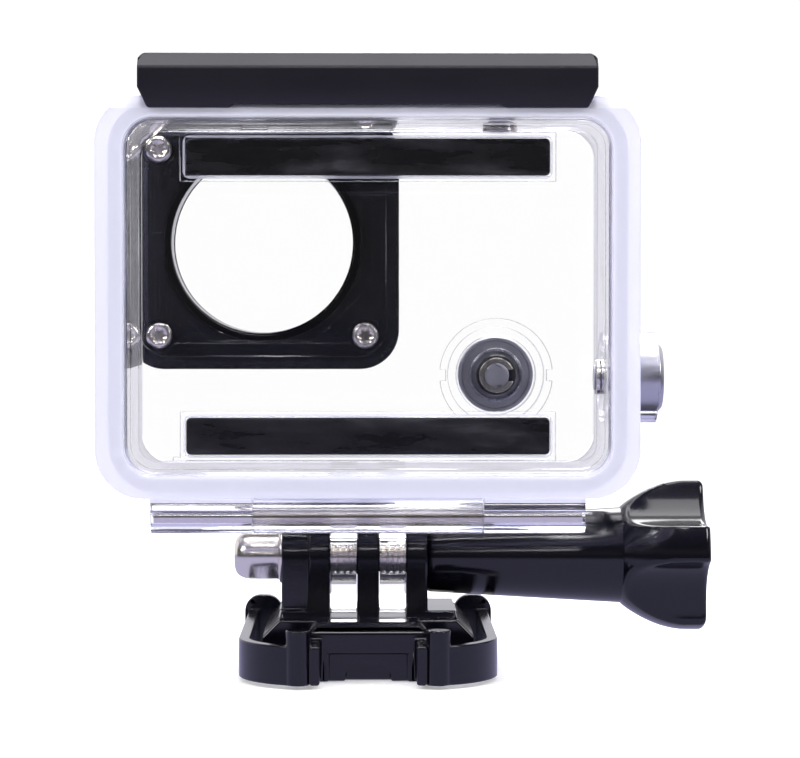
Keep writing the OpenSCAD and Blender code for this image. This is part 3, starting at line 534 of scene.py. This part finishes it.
def gridFaces(rows, columns):
    # quads between neighbouring rows, closed round the columns
    row, column = np.meshgrid(np.arange(rows - 1), np.arange(columns), indexing="ij")
    after = (column + 1) % columns
    corners = [row * columns + column, row * columns + after, (row + 1) * columns + after,
               (row + 1) * columns + column]
    return np.stack(corners, -1).reshape(-1, 4).tolist()


def polar(name, axis, centre, along, radii, angles, sharpDegrees=40.0):
    # rows along the axis; across it, centre + radius cos angle and centre + radius sin angle
    across = [i for i in range(3) if i != axis]
    points = np.zeros(radii.shape + (3,))
    points[..., axis] = np.asarray(along, float).reshape(len(along), -1)
    points[..., across[0]] = centre[across[0]] + radii * np.cos(angles)
    points[..., across[1]] = centre[across[1]] + radii * np.sin(angles)
    return putMesh(name, points.reshape(-1, 3), gridFaces(*radii.shape), sharpDegrees)


def softCopy(node, widthMm, segments, bevelDegrees=32.0):
    # merged copy of a node with its edges rounded
    mesh = nodes[node].data.copy()
    work = bmesh.new()
    work.from_mesh(mesh)
    bmesh.ops.remove_doubles(work, verts=work.verts, dist=2e-6)
    work.to_mesh(mesh)
    work.free()
    for attribute in ("custom_normal", "sharp_edge", "sharp_face"):
        if attribute in mesh.attributes:
            mesh.attributes.remove(mesh.attributes[attribute])
    mesh.materials.clear()
    mesh.shade_smooth()
    mesh.set_sharp_from_angle(angle=math.radians(bevelDegrees))
    piece = bpy.data.objects.new(node + "Soft", mesh)
    bpy.context.scene.collection.objects.link(piece)
    bevel = piece.modifiers.new("roundedEdges", "BEVEL")
    bevel.width = widthMm * mm
    bevel.segments = segments
    bevel.limit_method = "ANGLE"
    bevel.angle_limit = math.radians(bevelDegrees)
    bevel.use_clamp_overlap = False
    bevel.harden_normals = True
    settle(piece, node)
    return piece


# moulded parts with rounded edges

roundings = {
    # node: edge radius in mm, segments
    "latch_bar": (0.3, 3), "latch_arm": (0.3, 3), "lock_slider": (0.15, 2),
    "buckle_base": (0.32, 3), "left_clip_arm": (0.18, 3), "right_clip_arm": (0.18, 3),
    "front_button": (0.12, 2), "shutter_button": (0.12, 2), "side_button": (0.12, 2),
    "front_clip": (0.08, 2), "shutter_clip": (0.08, 2), "side_clip": (0.08, 2),
}
for node, (width, segments) in roundings.items():
    softCopy(node, width, segments)
print("rounded copies made:", len(roundings))


# return springs

springs = {
    # node: axis, turns, wire diameter in mm, joint, end that stays (0 low, 1 high), share kept at full press
    "front_spring": (1, 2.2, 0.42, "front_press", 0, 0.44),
    "shutter_spring": (2, 2.2, 0.42, "shutter_press", 0, 0.44),
    "side_spring": (0, 2.2, 0.42, "side_press", 0, 0.44),
    "lock_spring": (0, 4.2, 0.2, "lock_slide", 1, 0.32),
}


def coilSpring(node, axis, turns, wire, joint, fixedEnd, keep):
    # helix: radius fixed, advance along the axis eased at both ends so that they lie flat;
    # a round wire follows it
    low, high = boxOf(node)
    middle = (low + high) / 2
    across = [i for i in range(3) if i != axis]
    coilRadius = (high[across[0]] - low[across[0]]) / 2 - wire / 2
    steps, sides = int(36 * turns), 10
    t = np.linspace(0, 1, steps)
    eased = np.clip((t - 0.12) / 0.76, 0, 1)
    eased = eased * eased * (3 - 2 * eased) * 0.35 + eased * 0.65
    path = np.zeros((steps, 3))
    path[:, axis] = low[axis] + wire / 2 + (high[axis] - low[axis] - wire) * eased
    turn = 2 * np.pi * turns * t
    path[:, across[0]] = middle[across[0]] + coilRadius * np.cos(turn)
    path[:, across[1]] = middle[across[1]] + coilRadius * np.sin(turn)
    tangent = np.gradient(path, axis=0)
    tangent /= np.linalg.norm(tangent, axis=1, keepdims=True)
    outward = path - middle
    outward[:, axis] = 0
    outward /= np.linalg.norm(outward, axis=1, keepdims=True)
    sideways = np.cross(tangent, outward)
    angle = np.linspace(0, 2 * np.pi, sides, endpoint=False)[None, :, None]
    rings = path[:, None] + wire / 2 * (np.cos(angle) * outward[:, None]
                                        + np.sin(angle) * sideways[:, None])
    rings = np.concatenate([np.repeat(path[:1, None], sides, 1), rings,
                            np.repeat(path[-1:, None], sides, 1)])
    piece = putMesh(node + "Coil", rings.reshape(-1, 3), gridFaces(steps + 2, sides), 60)
    settle(piece, node)
    anchor = middle.copy()
    anchor[axis] = high[axis] if fixedEnd else low[axis]
    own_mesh(piece)


for node, values in springs.items():
    coilSpring(node, *values)
print("springs wound:", len(springs))


# foam pads

foamPad = {"cornerRadius": 0.6, "edgeRadius": 0.28, "crown": 0.1, "waist": 0.07, "gap": 0.02,
           "skinGap": 0.01, "fill": 0.85}


def roundedOutline(halfWidth, halfHeight, radius, columns):
    # rounded rectangle: four quarter circles joined by straights, the same number of points in each
    quarter = columns // 4
    angle = np.linspace(0, np.pi / 2, quarter)
    signs = [(1, 1), (-1, 1), (-1, -1), (1, -1)]
    parts = []
    for k, (sx, sz) in enumerate(signs):
        turn = angle + k * np.pi / 2
        parts.append(np.stack([sx * (halfWidth - radius) + radius * np.cos(turn),
                               sz * (halfHeight - radius) + radius * np.sin(turn)], -1))
    return np.concatenate(parts)


def buildPad(node):
    # closed skin: inset of the outline and depth follow one profile,
    # flat behind, sides drawn in, front crowned
    low, high = boxOf(node)
    middle = (low + high) / 2
    half = (high - low) / 2
    edge = foamPad["edgeRadius"]
    corner = np.linspace(0, np.pi / 2, 6)
    inwards = np.linspace(half[2], edge, 12)
    backY = low[1] + foamPad["gap"]
    frontY = high[1] - foamPad["skinGap"]
    insets = np.concatenate([inwards, edge - edge * np.sin(corner), [foamPad["waist"]] * 3,
                             edge - edge * np.cos(corner), inwards[::-1]])
    sideY = np.linspace(backY + edge, frontY - foamPad["crown"] - edge, 5)[1:4]
    crown = foamPad["crown"] * (1 - np.clip(1 - (inwards - edge) / (half[2] - edge), 0, 1) ** 2)
    depths = np.concatenate([np.full(12, backY), backY + edge * (1 - np.cos(corner)), sideY,
                             frontY - foamPad["crown"] - edge * (1 - np.sin(corner)),
                             (frontY - foamPad["crown"] + crown)[::-1]])
    rows = []
    for inset, depth in zip(insets, depths):
        radius = max(foamPad["cornerRadius"] - inset, 0.0)
        ring = roundedOutline(half[0] - inset, max(half[2] - inset, 0.0), radius, 64)
        rows.append(np.stack([middle[0] + ring[:, 0], np.full(len(ring), depth),
                              middle[2] + ring[:, 1]], -1))
    piece = putMesh(node + "Foam", np.concatenate(rows), gridFaces(len(rows), len(rows[0])), 50)
    settle(piece, node)


buildPad("upper_pad")
buildPad("lower_pad")
print("pads made")


# screws, thumbscrew knob, bolt and acorn nut

knob = {"shankLength": 25.1, "shankStart": 4.75, "shankEnd": 6.2, "flareEndGap": 2.3,
        "lobeRadius": 9.7, "fluteRadius": 7.6, "fluteFloor": 6.4, "lobeTurn": 14.0, "blend": 0.55,
        "endRound": 0.8, "boreRadius": 2.5, "boreDepth": 9.0, "lead": 0.35, "dish": 0.35}


def smoothMin(first, second, width):
    # the lower of two surfaces, with their crossing rounded over width
    h = np.clip(0.5 + 0.5 * (second - first) / width, 0, 1)
    return second * (1 - h) + first * h - width * h * (1 - h)


def fluteReach(angle):
    # polar radius at which four round flutes cut the knob:
    # near crossing of a ray with a circle set off the axis
    offset = knob["fluteRadius"] + knob["fluteFloor"]
    off = (angle - math.radians(45 + 90 - knob["lobeTurn"]) + np.pi / 4) % (np.pi / 2) - np.pi / 4
    inside = knob["fluteRadius"] ** 2 - (offset * np.sin(off)) ** 2
    return np.where(inside > 0, offset * np.cos(off) - np.sqrt(np.maximum(inside, 0)), 40.0)


def buildKnob():
    # revolved shank and flare, cut by four flutes: radius = rounded minimum of profile and flute reach
    low, high = boxOf("thumbscrew_knob")
    start, end = low[0], high[0]
    shoulder = start + knob["shankLength"]
    angles = np.linspace(0, 2 * np.pi, 256, endpoint=False)
    shank = np.linspace(start + knob["lead"], shoulder - 0.6, 40)
    taper = knob["shankEnd"] - knob["shankStart"]
    shankR = knob["shankStart"] + (shank - start) / knob["shankLength"] * taper
    share = np.linspace(0, 1, 40) ** 1.3
    flare = shoulder + (end - knob["flareEndGap"] - shoulder) * share
    swell = knob["lobeRadius"] - knob["shankEnd"]
    flareR = knob["shankEnd"] + swell * np.sin(np.pi / 2 * share) ** 0.85
    body = np.linspace(flare[-1] + 0.3, end - knob["endRound"], 14)
    reach = fluteReach(angles)[None, :]
    alongAll = np.concatenate([shank, flare, body])
    base = np.concatenate([shankR, flareR, np.full(len(body), knob["lobeRadius"])])[:, None]
    radii = smoothMin(base + 0 * reach, reach + 0 * base, knob["blend"])
    keepRound = np.clip((alongAll - shoulder - 0.1) / 0.9, 0, 1)[:, None]
    radii = base * (1 - keepRound) + radii * keepRound
    rounding = np.linspace(0, np.pi / 2, 8)[1:]
    rim = radii[-1][None, :] - knob["endRound"] * (1 - np.cos(rounding))[:, None]
    rimX = end - knob["endRound"] * (1 - np.sin(rounding))
    inner = np.linspace(1, 0, 12)[1:, None]
    cap = rim[-1][None, :] * inner
    capX = end - knob["dish"] * (1 - inner[:, 0] ** 2)
    lead = np.linspace(0, np.pi / 2, 6)[:-1]
    chamfer = knob["shankStart"] - knob["lead"] * (1 - np.sin(lead))
    chamferX = start + knob["lead"] * (1 - np.cos(lead))
    bore = np.array([0.0, knob["boreRadius"], knob["boreRadius"]])
    boreX = np.array([start + knob["boreDepth"], start + knob["boreDepth"], start])
    allX = np.concatenate([boreX, chamferX, alongAll, rimX, capX])
    allR = np.concatenate([np.tile(bore[:, None], (1, 256)), np.tile(chamfer[:, None], (1, 256)),
                           radii, rim, cap])
    piece = polar("thumbscrewKnobMoulded", 0, (0, 0, pivotZ), allX, allR, angles, 45)
    settle(piece, "thumbscrew_knob")


thread = {"pitch": 0.8, "depth": 0.42, "rows": 12}


def buildBolt():
    # V thread: crest radius less a triangle wave of (along / pitch - angle / turn)
    low, high = boltLow[0], boltHigh[0]
    angles = np.linspace(0, 2 * np.pi, 48, endpoint=False)
    rows = int((high - low) / thread["pitch"] * thread["rows"])
    along = np.linspace(low + 0.5, high - 0.1, rows)
    phase = (along[:, None] / thread["pitch"] - angles[None, :] / (2 * np.pi)) % 1
    wave = np.clip(np.abs(phase * 2 - 1) * 1.25 - 0.12, 0, 1)
    crest = (boltHigh[2] - boltLow[2]) / 2
    radii = crest - thread["depth"] * wave
    ends = np.array([[0.0], [crest - 0.7]]) * np.ones((1, 48))
    allX = np.concatenate([[low, low], along, [high, high]])
    allR = np.concatenate([ends, radii, ends[::-1]])
    piece = polar("thumbscrewBoltThreaded", 0, (0, 0, pivotZ), allX, allR, angles, 35)
    settle(piece, "thumbscrew_bolt")


acornNut = {"capLength": 3.1, "apothem": 4.0, "neck": 3.6, "wall": 3.08, "domeLength": 2.3}


def buildNut():
    # hexagon in the pocket, then flange and drawn dome: radius over length,
    # hexagon as apothem / cos of the sector angle
    low, high = boxOf("acorn_nut")
    face = high[0] - acornNut["capLength"]   # outer face of the boss
    angles = np.linspace(0, 2 * np.pi, 192, endpoint=False)
    sector = (angles + np.pi / 6) % (np.pi / 3) - np.pi / 6
    hexagon = acornNut["apothem"] / np.cos(sector)
    hexX = np.array([high[0], high[0], face + 0.25, face + 0.05])
    hexR = np.stack([np.zeros(192), hexagon, hexagon, np.full(192, acornNut["neck"])])
    flangeX = np.array([face - 0.1, face - 0.28, face - 0.42, face - 0.5, face - 0.55])
    flangeR = np.array([acornNut["neck"], 3.57, 3.44, 3.25, 3.12])
    dome = acornNut["domeLength"]
    wall = np.linspace(face - 0.8, low[0] + dome, 10)
    round90 = np.linspace(0, np.pi / 2, 16)[1:]
    domeX = low[0] + dome - dome * np.sin(round90) ** 0.92
    domeR = acornNut["wall"] * np.cos(round90 * 0.93) ** 0.55
    capR = domeR[-1] * np.linspace(0.75, 0, 4)
    capX = np.full(4, low[0])
    smoothX = np.concatenate([flangeX, wall, domeX, capX])
    smoothR = np.concatenate([flangeR, np.full(10, acornNut["wall"]), domeR, capR])
    allX = np.concatenate([hexX, smoothX])
    allR = np.concatenate([hexR, np.tile(smoothR[:, None], (1, 192))])
    piece = polar("acornNutDrawn", 0, (0, 0, pivotZ), allX, allR, angles, 50)
    settle(piece, "acorn_nut")


screwHead = {"length": 1.1, "lobe": 0.74, "lobeSwing": 0.13, "recess": 0.75, "crest": 1.22, "innerFall": 0.22,
             "outerFall": 0.55, "shaft": 0.85}


def buildScrew(node):
    # pan head round a six-lobe recess: lobe radius = mean + swing cos(6 angle);
    # the rim is a half-round ring
    low, high = boxOf(node)
    middle = (low + high) / 2
    headRadius = (high[0] - low[0]) / 2
    headLength = screwHead["length"]
    angles = np.linspace(0, 2 * np.pi, 96, endpoint=False)
    lobe = screwHead["lobe"] + screwHead["lobeSwing"] * np.cos(6 * angles)
    round90 = np.linspace(0, np.pi / 2, 7)
    crest = screwHead["crest"]
    innerR = lobe[None, :] + (crest - lobe)[None, :] * np.sin(round90)[:, None]
    innerY = screwHead["innerFall"] * (1 - np.sin(round90)) ** 1.5
    outerR = crest + (headRadius - crest) * np.sin(round90[1:])
    outerY = screwHead["outerFall"] * (1 - np.cos(round90[1:]))
    shaft = np.array([headRadius, screwHead["shaft"], screwHead["shaft"], 0.0])
    shaftY = np.array([headLength, headLength, high[1] - low[1], high[1] - low[1]])
    allY = low[1] + np.concatenate([[screwHead["recess"]] * 2, innerY, outerY, shaftY])
    allR = np.concatenate([0 * lobe[None, :], 0.9 * lobe[None, :], innerR,
                           np.tile(np.concatenate([outerR, shaft])[:, None], (1, 96))])
    piece = polar(node + "Driven", 1, middle, allY, allR, angles, 50)
    settle(piece, node)


for node in nodes:
    if node.startswith("bezel_screw"):
        buildScrew(node)
buildKnob()
buildBolt()
buildNut()
print("turned parts made")
